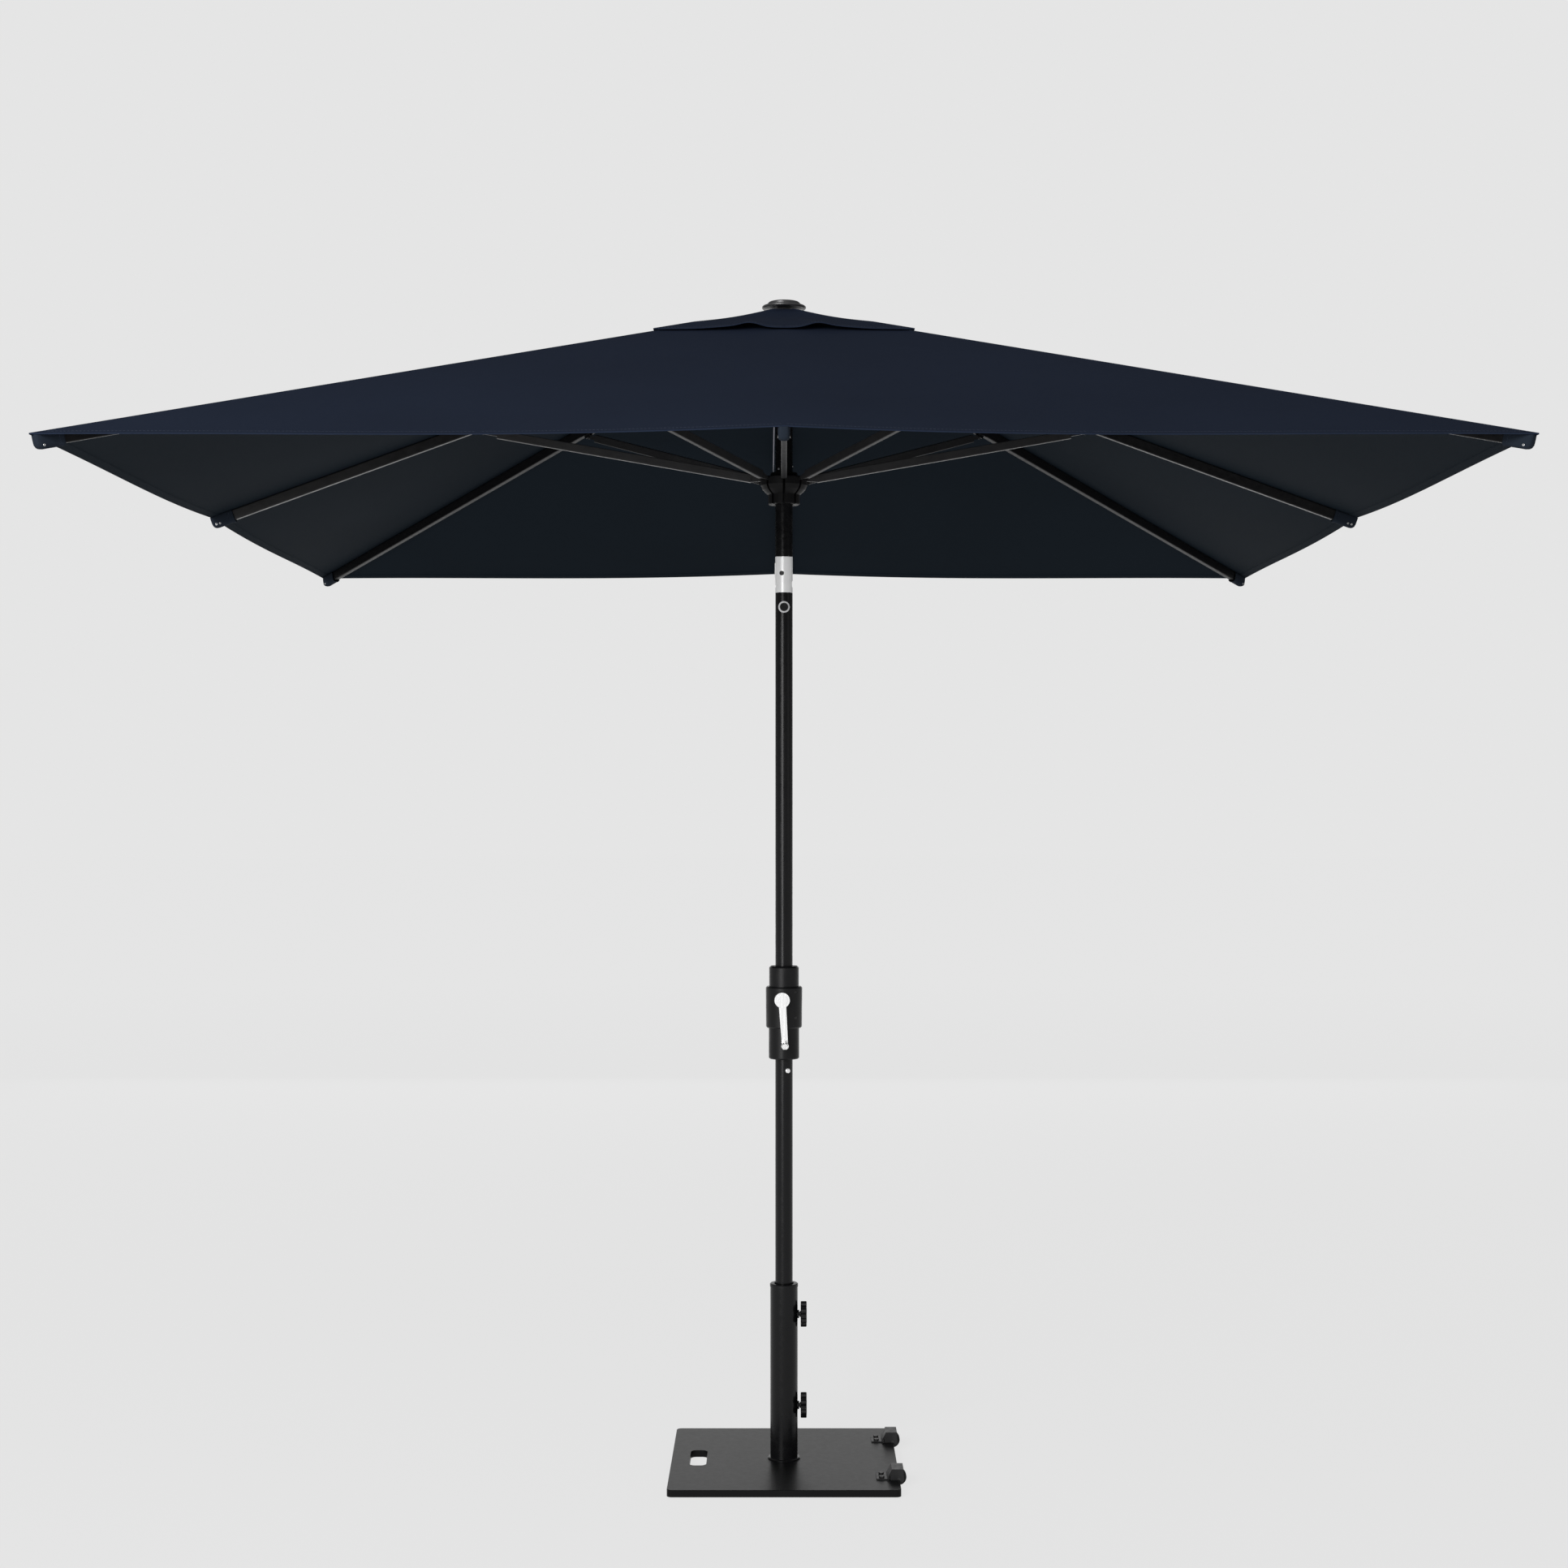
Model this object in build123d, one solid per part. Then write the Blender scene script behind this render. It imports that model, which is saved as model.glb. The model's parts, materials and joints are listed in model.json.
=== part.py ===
from build123d import *
import math
import os

# Patio umbrella with a weighted square base.
# Millimetres, +Z up. The origin is on the floor, on the axis of the pole. The crank side is -Y.

# ---------------------------------------------------------------- driving dimensions
POLE_R = 19.0            # lower pole, upper pole and mast share one outside size
POLE_BORE = 17.5         # bore of those tubes
GUIDE_R = 19.05          # running bore of the guide rings in the sleeve

PLATE = 490.0            # side of the square base plate
PLATE_BOTTOM = 3.5       # the plate stands on four glide feet
PLATE_TOP = 18.5
SLEEVE_R = 30.0
SLEEVE_BORE = 28.0
SLEEVE_TOP = 394.0
GRIP_X = -187.0          # centre of the hand grip slot in the plate
GRIP_SIZE = (37.0, 120.0)

WHEEL_R = 17.0
WHEEL_X = 243.0
WHEEL_Z = 20.0
WHEEL_Y = 147.0          # the two wheels stand this far either side of the middle

KNOB_Z = (333.0, 134.0)  # upper and lower clamp knob

POLE_FOOT = 19.0         # underside of the end plug
POLE_SPLIT = 890.0       # lower pole ends and upper pole starts
HOUSING_Z = (892.0, 960.0, 1050.0, 1095.0)   # lower collar, body and upper collar
CRANK_X = -4.0
CRANK_Z = 1023.0
SPOOL_R = 12.5

TILT_X = -5.0            # axis of the tilt pin
TILT_Z = 1952.0
FORK_Z = (1910.0, 1988.0)
MAST_FOOT = 1988.6
MAST_TOP = 2494.0

HUB_PIN_R = 36.0         # the ribs turn on pins this far from the axis
HUB_Z_SIDE = 2503.5      # height of those pins for the side ribs
HUB_Z_CORNER = 2505.4    # and for the corner ribs
SLOPE_SIDE = 0.3626      # fall of the canopy along a side rib
SLOPE_CORNER = 0.2637    # and along a corner rib
APEX_Z = 2530.0          # the ribs' canopy lines meet here
HALF = 1252.0            # half the side of the square canopy
FABRIC = 1.0

STRUT_PIN_R = 48.0       # inner ends of the struts at the runner
STRUT_PIN_Z = 2156.0
JOINT_R_SIDE = 656.0     # where a strut meets a side rib
JOINT_R_CORNER = 659.151 # and a corner rib
JOINT_DROP = 16.0        # strut pin below the rib's middle line
RIB_W, RIB_H = 14.0, 22.0
STRUT_W, STRUT_H = 12.0, 18.0

VENT_HALF = 271.0        # half the side of the vent cap
VENT_OPEN = 185.0        # half the side of the vent opening under it

os.makedirs("parts", exist_ok=True)


# ---------------------------------------------------------------- helpers
def block(x0, x1, y0, y1, z0, z1):
    """A box between these limits."""
    return Pos((x0 + x1) / 2, (y0 + y1) / 2, (z0 + z1) / 2) * Box(x1 - x0, y1 - y0, z1 - z0)


def rod_z(r, z0, z1, x=0.0, y=0.0):
    return Pos(x, y, (z0 + z1) / 2) * Cylinder(r, z1 - z0)


def rod_y(r, y0, y1, x=0.0, z=0.0):
    return Pos(x, (y0 + y1) / 2, z) * Rot(90, 0, 0) * Cylinder(r, y1 - y0)


def rod_x(r, x0, x1, y=0.0, z=0.0):
    return Pos((x0 + x1) / 2, y, z) * Rot(0, 90, 0) * Cylinder(r, x1 - x0)


def tube_z(r_out, r_in, z0, z1):
    return rod_z(r_out, z0, z1) - rod_z(r_in, z0 - 1, z1 + 1)


def turned(points):
    """A solid of revolution about Z from (radius, height) points."""
    outline = make_face(Polyline(*[(r, 0, z) for r, z in points], close=True))
    return revolve(outline, axis=Axis.Z)


def plate_xz(points, y0, y1):
    """A plate parallel to the XZ plane from (x, z) points."""
    outline = make_face(Polyline(*[(x, y0, z) for x, z in points], close=True))
    return extrude(outline, amount=y1 - y0, dir=(0, 1, 0))


def save(name, shape):
    export_step(shape, f"parts/{name}.step")


def several(*shapes):
    """One node made of separate solids."""
    found = []
    for shape in shapes:
        found.extend(shape.solids())
    return Compound(found)


# ---------------------------------------------------------------- base
plate = extrude(RectangleRounded(PLATE, PLATE, 11), amount=PLATE_TOP - PLATE_BOTTOM)
plate = Pos(0, 0, PLATE_BOTTOM) * plate
plate = chamfer(plate.edges().group_by(Axis.Z)[-1], 0.8)
grip = extrude(RectangleRounded(GRIP_SIZE[0], GRIP_SIZE[1], 13), amount=40)
plate -= Pos(GRIP_X, 0, -5) * grip
for side in (-1, 1):
    y = side * WHEEL_Y
    plate -= block(223.5, 300, y - 24.8, y + 24.8, 0, 40)
    for off in (-14, 14):
        plate -= rod_z(3, 0, 40, 207, y + off)
save("base_plate", plate)

feet = [rod_z(6, 0, PLATE_BOTTOM, sx * 225, sy * 225) for sx in (-1, 1) for sy in (-1, 1)]
feet = [chamfer(foot.edges().group_by(Axis.Z)[0], 0.6) for foot in feet]
save("plate_feet", several(*feet))

sleeve = tube_z(SLEEVE_R, SLEEVE_BORE, PLATE_TOP, SLEEVE_TOP)
flange = turned([(SLEEVE_R - 1, PLATE_TOP), (35.5, PLATE_TOP), (35.5, 20.5), (33.5, 22.5),
                 (SLEEVE_R - 1, 22.5)])
sleeve += flange
for z in KNOB_Z:
    sleeve += rod_x(9, 28.6, 33, 0, z)
    sleeve -= rod_z(SLEEVE_BORE, PLATE_TOP + 1, SLEEVE_TOP - 1)
    sleeve -= rod_x(4.06, 20, 40, 0, z)
save("base_sleeve", sleeve)

cap = turned([(21.5, 394), (30.65, 394), (30.65, 399.5), (29.2, 401), (22.5, 401), (21.5, 400)])
cap += tube_z(SLEEVE_BORE, 25.5, 386, 395)
save("sleeve_cap", cap)

brackets, fasteners = [], []
for side in (-1, 1):
    y = side * WHEEL_Y
    strip = [
        (196, 18.5), (219.6, 18.5), (229.9, 38.5), (253, 38.5),
        (253, 41), (228.3, 41), (218.1, 21), (196, 21),
    ]
    bent = plate_xz(strip, y - 24, y + 24)
    cheek = [(225, 12), (250, 12), (254, 17), (253, 38.6), (229.8, 38.6), (225, 30)]
    for inner, outer in ((-24, -21.6), (21.6, 24)):
        bent += plate_xz(cheek, y + inner, y + outer)
    bent -= rod_y(3, y - 30, y + 30, WHEEL_X, WHEEL_Z)
    for off in (-14, 14):
        bent -= rod_z(3, 10, 30, 207, y + off)
        bolt = rod_z(3, 6, 22, 207, y + off)
        bolt += Pos(207, y + off, 21) * extrude(RegularPolygon(5.6, 6), amount=3.6)
        fasteners.append(bolt)
    brackets.append(bent)
    fasteners.append(rod_y(3, y - 24.4, y + 24.4, WHEEL_X, WHEEL_Z))
save("wheel_brackets", several(*brackets))
save("wheel_fasteners", several(*fasteners))

for name, side in (("front", -1), ("back", 1)):
    y = side * WHEEL_Y
    tyre = rod_y(WHEEL_R, y - 9, y + 9, WHEEL_X, WHEEL_Z)
    tyre = fillet(tyre.edges(), 2.5)
    tyre -= rod_y(11, y - 10, y + 10, WHEEL_X, WHEEL_Z)
    save(f"tyre_{name}", tyre)
    hub = rod_y(11, y - 8, y + 8, WHEEL_X, WHEEL_Z) + rod_y(5.5, y - 21.2, y + 21.2, WHEEL_X, WHEEL_Z)
    hub -= rod_y(3.06, y - 30, y + 30, WHEEL_X, WHEEL_Z)
    save(f"wheel_hub_{name}", hub)

lobes = Circle(21.5)
for i in range(6):
    lobes += Rot(0, 0, 60 * i + 30) * Pos(20.5, 0) * Circle(7.5)
lobes = fillet(lobes.vertices(), 3)
for name, z in zip(("upper", "lower"), KNOB_Z):
    disc = extrude(Plane(origin=(36.5, 0, z), x_dir=(0, 1, 0), z_dir=(1, 0, 0)) * lobes, amount=13)
    ends = disc.faces().filter_by(Axis.X).edges()
    disc = chamfer(ends, 1.2)
    knob = disc + rod_x(4, 19.7, 40, 0, z) + rod_x(6.5, 34, 37, 0, z)
    save(f"knob_{name}", knob)

guides = [tube_z(SLEEVE_BORE - 0.05, GUIDE_R, z0, z1) for z0, z1 in ((350, 384), (40, 66))]
save("pole_guides", several(*guides))

# ---------------------------------------------------------------- pole
SNAP_Z = 867.0
SNAP_AZ = math.radians(-65)          # a little to the right of the front
snap_dir = (math.cos(SNAP_AZ), math.sin(SNAP_AZ), 0)


def snap_rod(r, near, far):
    """A rod along the snap button's axis between these distances from the pole axis."""
    at = Plane(origin=(snap_dir[0] * near, snap_dir[1] * near, SNAP_Z), z_dir=snap_dir)
    return extrude(at * Circle(r), amount=far - near)


lower_pole = tube_z(POLE_R, POLE_BORE, 22, POLE_SPLIT)
lower_pole -= snap_rod(5.6, 5, 30)
save("lower_pole", lower_pole)

plug = turned([(0, 19), (18, 19), (POLE_R, 20), (POLE_R, 22), (POLE_BORE, 22), (POLE_BORE, 40), (14, 40),
               (14, 24), (0, 24)])
save("pole_plug", plug)

BUTTON_Z = 1878.0
upper_pole = tube_z(POLE_R, POLE_BORE, POLE_SPLIT, FORK_Z[0])
upper_pole += tube_z(POLE_BORE, 16, 790, 930)
upper_pole -= snap_rod(5.6, 5, 30)
upper_pole -= rod_y(4.8, -30, 0, CRANK_X, CRANK_Z)
upper_pole -= rod_y(9.1, -30, -5, 0, BUTTON_Z)
save("upper_pole", upper_pole)

snap = snap_rod(5.53, 9, 22.4)
snap_face = snap.faces().filter_by(GeomType.PLANE).sort_by(
    lambda f: f.center().X * snap_dir[0] + f.center().Y * snap_dir[1])[-1]
snap = fillet(snap_face.edges(), 2.4)
save("snap_button", snap)

z0, z1, z2, z3 = HOUSING_Z
shell = turned([(POLE_R, z1), (37, z1), (39.2, z1 + 2.5), (40, z2 - 3), (37.5, z2), (POLE_R, z2), (POLE_R, z2 - 4),
                (36.5, z2 - 4), (36.5, z1 + 4), (POLE_R, z1 + 4)])
shell += rod_y(19, -41.4, -37, CRANK_X, CRANK_Z)
shell -= rod_y(4.56, -60, -20, CRANK_X, CRANK_Z)
SCREW_AZ = -49
for z in (1039, 983):
    shell -= Rot(0, 0, SCREW_AZ) * rod_x(3.5, 33, 60, 0, z)
save("crank_housing", shell)

low_collar = turned([(POLE_R, z0), (31, z0), (33.2, z0 + 2.5), (33.2, z1), (POLE_R, z1)])
high_collar = turned([(POLE_R, z2), (32.5, z2), (32.5, z3 - 4), (28.5, z3), (POLE_R, z3)])
save("housing_collars", several(low_collar, high_collar))

screws = [Rot(0, 0, SCREW_AZ) * (rod_x(3.5, 34, 39, 0, z) - block(38.2, 42, -0.5, 0.5, z - 5, z + 5))
          for z in (1039, 983)]
save("housing_screws", several(*screws))

spool = rod_y(SPOOL_R, -5, 5, CRANK_X, CRANK_Z)
spool -= rod_y(20, -3.6, 3.6, CRANK_X, CRANK_Z) - rod_y(9.5, -4, 4, CRANK_X, CRANK_Z)
spool += rod_y(4.5, -42, 0, CRANK_X, CRANK_Z) + rod_y(13, -31, -24, CRANK_X, CRANK_Z)
save("cord_spool", spool)

arm_tip = (CRANK_X + 6.2, CRANK_Z - 97)
lean = math.degrees(math.atan2(6.2, 97))
hub_disc = rod_y(16.5, -50.5, -42, CRANK_X, CRANK_Z) + rod_y(11.5, -52, -50, CRANK_X, CRANK_Z)
bar = plate_xz([(-8, -4), (8, -4), (6.5, -97), (-6.5, -97)], -49.5, -44.5)
bar += rod_y(6.5, -49.5, -44.5, 0, -97)
bar = Pos(CRANK_X, 0, CRANK_Z) * Rot(0, -lean, 0) * bar
handle = hub_disc + bar
handle += rod_y(2.5, -84, -49, arm_tip[0], arm_tip[1])
save("crank_handle", handle)

knob = turned([(2.56, 0), (6.2, 0), (7.4, 4), (8, 26), (7, 31), (5.6, 32.5), (3, 32.5), (3, 30), (2.56, 30)])
knob = Pos(arm_tip[0], -50.2, arm_tip[1]) * Rot(90, 0, 0) * knob
save("crank_knob", knob)

button = rod_y(9.03, -20.6, -9, 0, BUTTON_Z) + rod_y(7.6, -21.4, -20, 0, BUTTON_Z)
save("tilt_button", button)
bezel = rod_y(12.5, -30, -5, 0, BUTTON_Z) & tube_z(20.2, POLE_R, BUTTON_Z - 20, BUTTON_Z + 20)
bezel -= rod_y(9.1, -40, 0, 0, BUTTON_Z)
save("tilt_bezel", bezel)

# ---------------------------------------------------------------- tilt joint
def grooves(z0, z1):
    """Four shallow grooves along the tube."""
    cuts = []
    for a in (-138, -42, 42, 138):
        cuts.append(Rot(0, 0, a) * block(POLE_R - 0.5, POLE_R + 1, -0.7, 0.7, z0, z1))
    return cuts


fork = rod_z(POLE_R, *FORK_Z) + rod_z(POLE_BORE, 1893, 1911)
fork -= block(-30, 30, -8, 8, FORK_Z[0] + 12, 2000)
sweep = FORK_Z[1] - TILT_Z
corner = block(-40, TILT_X, -30, 30, TILT_Z, 2000) - rod_y(sweep, -40, 40, TILT_X, TILT_Z)
fork -= corner
fork -= rod_y(5, -30, 30, TILT_X, TILT_Z)
fork -= rod_z(3, 1880, 1930, 9, 0)
for cut in grooves(FORK_Z[0] + 2, FORK_Z[1] + 2):
    fork -= cut
save("tilt_fork", fork)

pin = rod_y(5, -18.7, 18.7, TILT_X, TILT_Z) - rod_y(2.2, -18.8, -17.2, TILT_X, TILT_Z)
pin = pin & rod_z(POLE_R, TILT_Z - 10, TILT_Z + 10)
save("tilt_pin", pin)

tongue = rod_z(POLE_R, 1923.4, MAST_FOOT) & block(-30, 30, -7.65, 7.65, 1900, 2000)
tongue = tongue & (rod_y(28.6, -20, 20, TILT_X, TILT_Z) + block(-30, 30, -20, 20, TILT_Z, 2000))
tongue += block(-20.2, -17, -3.5, 3.5, 1929, 1975)
tongue += rod_z(POLE_BORE, MAST_FOOT, 2012)
tongue -= rod_y(5.06, -30, 30, TILT_X, TILT_Z)
tongue -= rod_z(3, 1900, 2020, 9, 0)
save("tilt_tongue", tongue)

# ---------------------------------------------------------------- mast
CORD_AZ = 201.8
CORD_FOOT = (24.9, 2172.2)           # distance from the axis and height of the cord's lower end
CORD_HEAD = (20.3, 2466.0)
PULLEY_R = 7.5
mast = tube_z(POLE_R, POLE_BORE, MAST_FOOT, MAST_TOP)
for cut in grooves(MAST_FOOT - 2, MAST_TOP - 30):
    mast -= cut
turn = Rot(0, 0, CORD_AZ)
mast -= turn * block(10, 25, -3, 3, CORD_HEAD[1] - 12, CORD_HEAD[1] + 12)
for y0, y1 in ((-5, -2.8), (2.8, 5)):
    ear = block(5, 19, y0, y1, CORD_HEAD[1] - 6, CORD_HEAD[1] + 6)
    mast += turn * (ear & rod_z(18, 2400, 2500))
mast += turn * rod_y(1.5, -4, 4, CORD_HEAD[0] - 1.3 - PULLEY_R, CORD_HEAD[1])
save("mast_tube", mast)

pulley = rod_y(PULLEY_R, -2.4, 2.4) - (rod_y(PULLEY_R + 1, -1.3, 1.3) - rod_y(PULLEY_R - 1.4, -2, 2))
pulley -= rod_y(1.55, -5, 5)
save("cord_pulley", turn * Pos(CORD_HEAD[0] - 1.3 - PULLEY_R, 0, CORD_HEAD[1]) * pulley)

cord_line = Line((CORD_FOOT[0], 0, CORD_FOOT[1]), (CORD_HEAD[0], 0, CORD_HEAD[1]))
cord = extrude(
    Plane(origin=cord_line @ 0, z_dir=cord_line % 0) * Circle(1.25), amount=cord_line.length)
save("lift_cord", turn * cord)

rivets = []
for a, z in ((-125.5, 2179), (-4, 2187)):
    dome = rod_x(2.2, 18.9, 20.1, 0, z)
    rivets.append(Rot(0, 0, a) * (dome - rod_z(POLE_R, z - 9, z + 9)))
save("mast_rivets", several(*rivets))

hub = turned([(0, MAST_TOP), (24, MAST_TOP), (42, 2498), (43, 2501), (43, 2511), (41, 2514), (0, 2514)])
hub += rod_z(POLE_BORE, 2480, MAST_TOP + 1)
hub += rod_z(10, 2510, 2532)
for i in range(8):
    hub -= Rot(0, 0, 45 * i) * block(29.4, 60, -3.1, 3.1, 2480, 2530)
for i in range(8):
    z = HUB_Z_CORNER if i % 2 else HUB_Z_SIDE
    hub += Rot(0, 0, 45 * i) * rod_y(2, -6, 6, HUB_PIN_R, z)
save("top_hub", hub)

finial = turned([(0, 2532), (10, 2532), (10, 2526), (13, 2526), (16, 2531), (46, 2531),
                 (48, 2532.5), (48, 2535), (46.5, 2536.5), (37, 2538), (35.5, 2539.5),
                 (35.5, 2543), (33, 2545.2), (26, 2546), (0, 2546)])
save("finial", finial)

# ---------------------------------------------------------------- runner
runner = turned([(20.6, 2103), (33.5, 2103), (34.5, 2104.5), (34.5, 2124), (40, 2128), (47, 2135), (51, 2144),
                 (51, 2160), (49.5, 2162), (31, 2164), (29, 2172), (20.6, 2172)])
for i in range(8):
    runner -= Rot(0, 0, 45 * i) * block(27, 60, -2.6, 2.6, 2100, 2166)
runner -= block(-14, 14, -24.5, 0, 2090, 2180) - rod_z(20.5, 2080, 2190)
save("runner", runner)


# ---------------------------------------------------------------- ribs, struts and canopy
def rib_frame(i):
    """Slope, pin height and joint radius of rib i; the odd ones go to the corners."""
    if i % 2:
        return SLOPE_CORNER, HUB_Z_CORNER, JOINT_R_CORNER, HALF * math.sqrt(2)
    return SLOPE_SIDE, HUB_Z_SIDE, JOINT_R_SIDE, HALF


def build_rib(i):
    slope, pin_z, joint_r, reach = rib_frame(i)
    fall = math.atan(slope)
    length = (reach - HUB_PIN_R) / math.cos(fall) - (16 if i % 2 else 7)
    joint = (joint_r - HUB_PIN_R + JOINT_DROP * math.sin(fall)) / math.cos(fall)
    rib = block(20, length, -RIB_W / 2, RIB_W / 2, -RIB_H / 2, RIB_H / 2)
    rib = fillet(rib.edges().filter_by(Axis.X), 2)
    rib -= block(36, length + 1, -RIB_W / 2 + 1.4, RIB_W / 2 - 1.4, -RIB_H / 2 + 1.4, RIB_H / 2 - 1.4)
    rib += rod_y(6, -2.5, 2.5) + block(0, 22, -2.5, 2.5, -6, 6)
    rib -= rod_y(2.05, -5, 5)
    tip = block(length - 12, length + 2, -RIB_W / 2 + 1.4, RIB_W / 2 - 1.4, -RIB_H / 2 + 1.4, RIB_H / 2 - 1.4)
    tip += block(length, length + 3, -RIB_W / 2, RIB_W / 2, -RIB_H / 2, RIB_H / 2)
    rib += tip
    for s in (-1, 1):
        ear = [(-9, -10.9), (-9, -13), (-5.5, -20), (5.5, -20), (9, -13), (9, -10.9)]
        rib += Pos(joint, 0, 0) * plate_xz(ear, *sorted((s * 3.1, s * 5.6)))
        rib += Pos(joint, 0, 0) * block(-16, 16, *sorted((s * 3.1, s * 8.5)), -12.6, -10.9)
        rib += Pos(joint, 0, 0) * block(-16, 16, *sorted((s * 6.9, s * 8.5)), -12.6, 6)
    rib += Pos(joint, 0, -JOINT_DROP) * rod_y(2, -6.4, 6.4)
    return Rot(0, 0, 45 * i) * Pos(HUB_PIN_R, 0, pin_z) * Rot(0, math.degrees(fall), 0) * rib


def build_strut(i):
    slope, pin_z, joint_r, reach = rib_frame(i)
    fall = math.atan(slope)
    along = (joint_r - HUB_PIN_R + JOINT_DROP * math.sin(fall)) / math.cos(fall)
    joint_z = pin_z - along * math.sin(fall) - JOINT_DROP * math.cos(fall)
    run, drop = joint_r - STRUT_PIN_R, joint_z - STRUT_PIN_Z
    length = math.hypot(run, drop)
    strut = block(30, length - 24, -STRUT_W / 2, STRUT_W / 2, -STRUT_H / 2, STRUT_H / 2)
    strut = fillet(strut.edges().filter_by(Axis.X), 1.6)
    strut -= block(42, length - 36, -STRUT_W / 2 + 1.2, STRUT_W / 2 - 1.2, -STRUT_H / 2 + 1.2, STRUT_H / 2 - 1.2)
    strut += rod_y(4.3, -2.5, 2.5) + block(0, 31, -2.5, 2.5, -4.3, 4.3)
    strut -= rod_y(2.05, -5, 5)
    blade = [(length - 26, -8), (length - 26, 8), (length, 2.3), (length, -2.3)]
    strut += plate_xz(blade, -2, 2) + rod_y(2.3, -2, 2, length, 0)
    angle = 180 - math.degrees(math.atan2(drop, run))
    return Rot(0, 0, 45 * i) * Pos(joint_r, 0, joint_z) * Rot(0, angle, 0) * strut


def canopy_z(s, v):
    """Height of the canopy at distance s from the axis towards a side, v of the way from its middle to the corner."""
    at_side = APEX_Z - SLOPE_SIDE * s
    at_corner = APEX_Z - SLOPE_CORNER * math.sqrt(2) * s
    sag = 7.0 * (s / HALF) * math.sin(math.pi * v)
    return at_side + (at_corner - at_side) * v - sag


def canopy_point(s, v, lift=0.0):
    bow = 4.0 * (s / HALF) ** 2 * math.sin(math.pi * v)
    return (v * (s - bow), -(s - bow), canopy_z(s, v) + lift)


def skin(s_values, low, high):
    """A sheet over the part of a front eighth between two edges, each given as (share of the side, offset)."""
    rows = []
    for s in s_values:
        a = low[0] + low[1] / s
        b = high[0] + high[1] / s
        rows.append([canopy_point(s, a + (b - a) * k / 4) for k in range(5)])
    face = Face.make_surface_from_array_of_points([[Vector(*p) for p in row] for row in rows])
    return extrude(face, amount=FABRIC, dir=(0, 0, -1))


SEAM = math.tan(math.radians(22.5))
spans = [VENT_OPEN + (HALF - VENT_OPEN) * k / 4 for k in range(5)]
half_side = skin(spans, (0.0, 0.0), (SEAM, -0.5))
half_corner = skin(spans, (SEAM, 0.5), (1.0, 0.0))
side_panel = half_side + mirror(half_side, about=Plane.YZ)
corner_plane = Plane(origin=(0, 0, 0), z_dir=(1, 1, 0))
corner_panel = half_corner + mirror(half_corner, about=corner_plane)


def build_pocket(i):
    """The fabric pocket that holds the end of a rib."""
    slope, pin_z, joint_r, reach = rib_frame(i)
    fall = math.atan(slope)
    end = (reach - HUB_PIN_R) / math.cos(fall) - (11 if i % 2 else 2.5)
    pocket = block(end - 48, end, -8.6, 8.6, -13.6, 10.6)
    pocket = fillet(pocket.edges().filter_by(Axis.Y).sort_by(Axis.X)[-2:].sort_by(Axis.Z)[0], 6)
    pocket -= block(end - 60, end - 1, -7.6, 7.6, -12.4, 30)
    return Rot(0, 0, 45 * i) * Pos(HUB_PIN_R, 0, pin_z) * Rot(0, math.degrees(fall), 0) * pocket


for i in range(8):
    save(f"rib_{i + 1}", build_rib(i))
    save(f"strut_{i + 1}", build_strut(i))
    # the panels are drawn at the front; rib 0 points along +X
    if i % 2:
        panel = Rot(0, 0, 45 * i + 45) * corner_panel
    else:
        panel = Rot(0, 0, 45 * i + 90) * side_panel
    save(f"gore_{i + 1}", several(panel, build_pocket(i)))

# ---------------------------------------------------------------- vent cap
def vent_half():
    """Half of one side of the cap; its lower edge lifts in a broad wave with a narrower fold in it."""
    rows = []
    for k in range(7):
        s = 24 + (VENT_HALF - 24) * k / 6
        row = []
        for n in range(13):
            v = n / 12
            broad = 6 * math.exp(-((v - 0.36) / 0.24) ** 2)
            narrow = 8 * math.exp(-((v - 0.26) / 0.1) ** 2)
            lift = 5.5 + (s / VENT_HALF) ** 3 * (broad + narrow)
            row.append(Vector(v * s, -s, canopy_z(s, v) + lift))
        rows.append(row)
    face = Face.make_surface_from_array_of_points(rows)
    return extrude(face, amount=FABRIC, dir=(0, 0, -1))


half = vent_half()
quarter = half + mirror(half, about=Plane.YZ)
save("vent_cap", several(*[Rot(0, 0, 90 * k) * quarter for k in range(4)]))
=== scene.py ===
import json
import math

import bpy
import numpy as np
from mathutils import Matrix, Vector


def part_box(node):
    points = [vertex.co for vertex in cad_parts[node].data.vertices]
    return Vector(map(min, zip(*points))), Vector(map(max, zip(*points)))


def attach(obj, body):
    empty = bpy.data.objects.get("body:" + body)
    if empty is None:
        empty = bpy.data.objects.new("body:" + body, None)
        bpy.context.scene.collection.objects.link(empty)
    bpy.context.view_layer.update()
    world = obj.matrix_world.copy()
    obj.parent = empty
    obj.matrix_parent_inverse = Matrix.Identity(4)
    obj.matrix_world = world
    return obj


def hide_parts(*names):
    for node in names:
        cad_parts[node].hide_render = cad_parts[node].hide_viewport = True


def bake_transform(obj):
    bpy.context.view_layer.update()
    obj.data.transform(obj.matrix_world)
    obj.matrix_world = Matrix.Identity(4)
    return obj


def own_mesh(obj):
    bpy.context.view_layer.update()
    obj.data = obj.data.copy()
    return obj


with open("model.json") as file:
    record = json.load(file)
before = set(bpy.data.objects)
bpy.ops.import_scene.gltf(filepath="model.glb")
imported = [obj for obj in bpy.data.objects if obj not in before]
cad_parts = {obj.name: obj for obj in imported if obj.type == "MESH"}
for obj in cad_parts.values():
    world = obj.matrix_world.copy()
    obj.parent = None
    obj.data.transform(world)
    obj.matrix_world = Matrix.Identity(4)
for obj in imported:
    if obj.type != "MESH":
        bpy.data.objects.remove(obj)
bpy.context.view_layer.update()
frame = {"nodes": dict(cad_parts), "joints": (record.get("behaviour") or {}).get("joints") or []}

# Looks for the patio umbrella. Metres, in the CAD frame: +Z up, the crank faces -Y.

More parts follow.
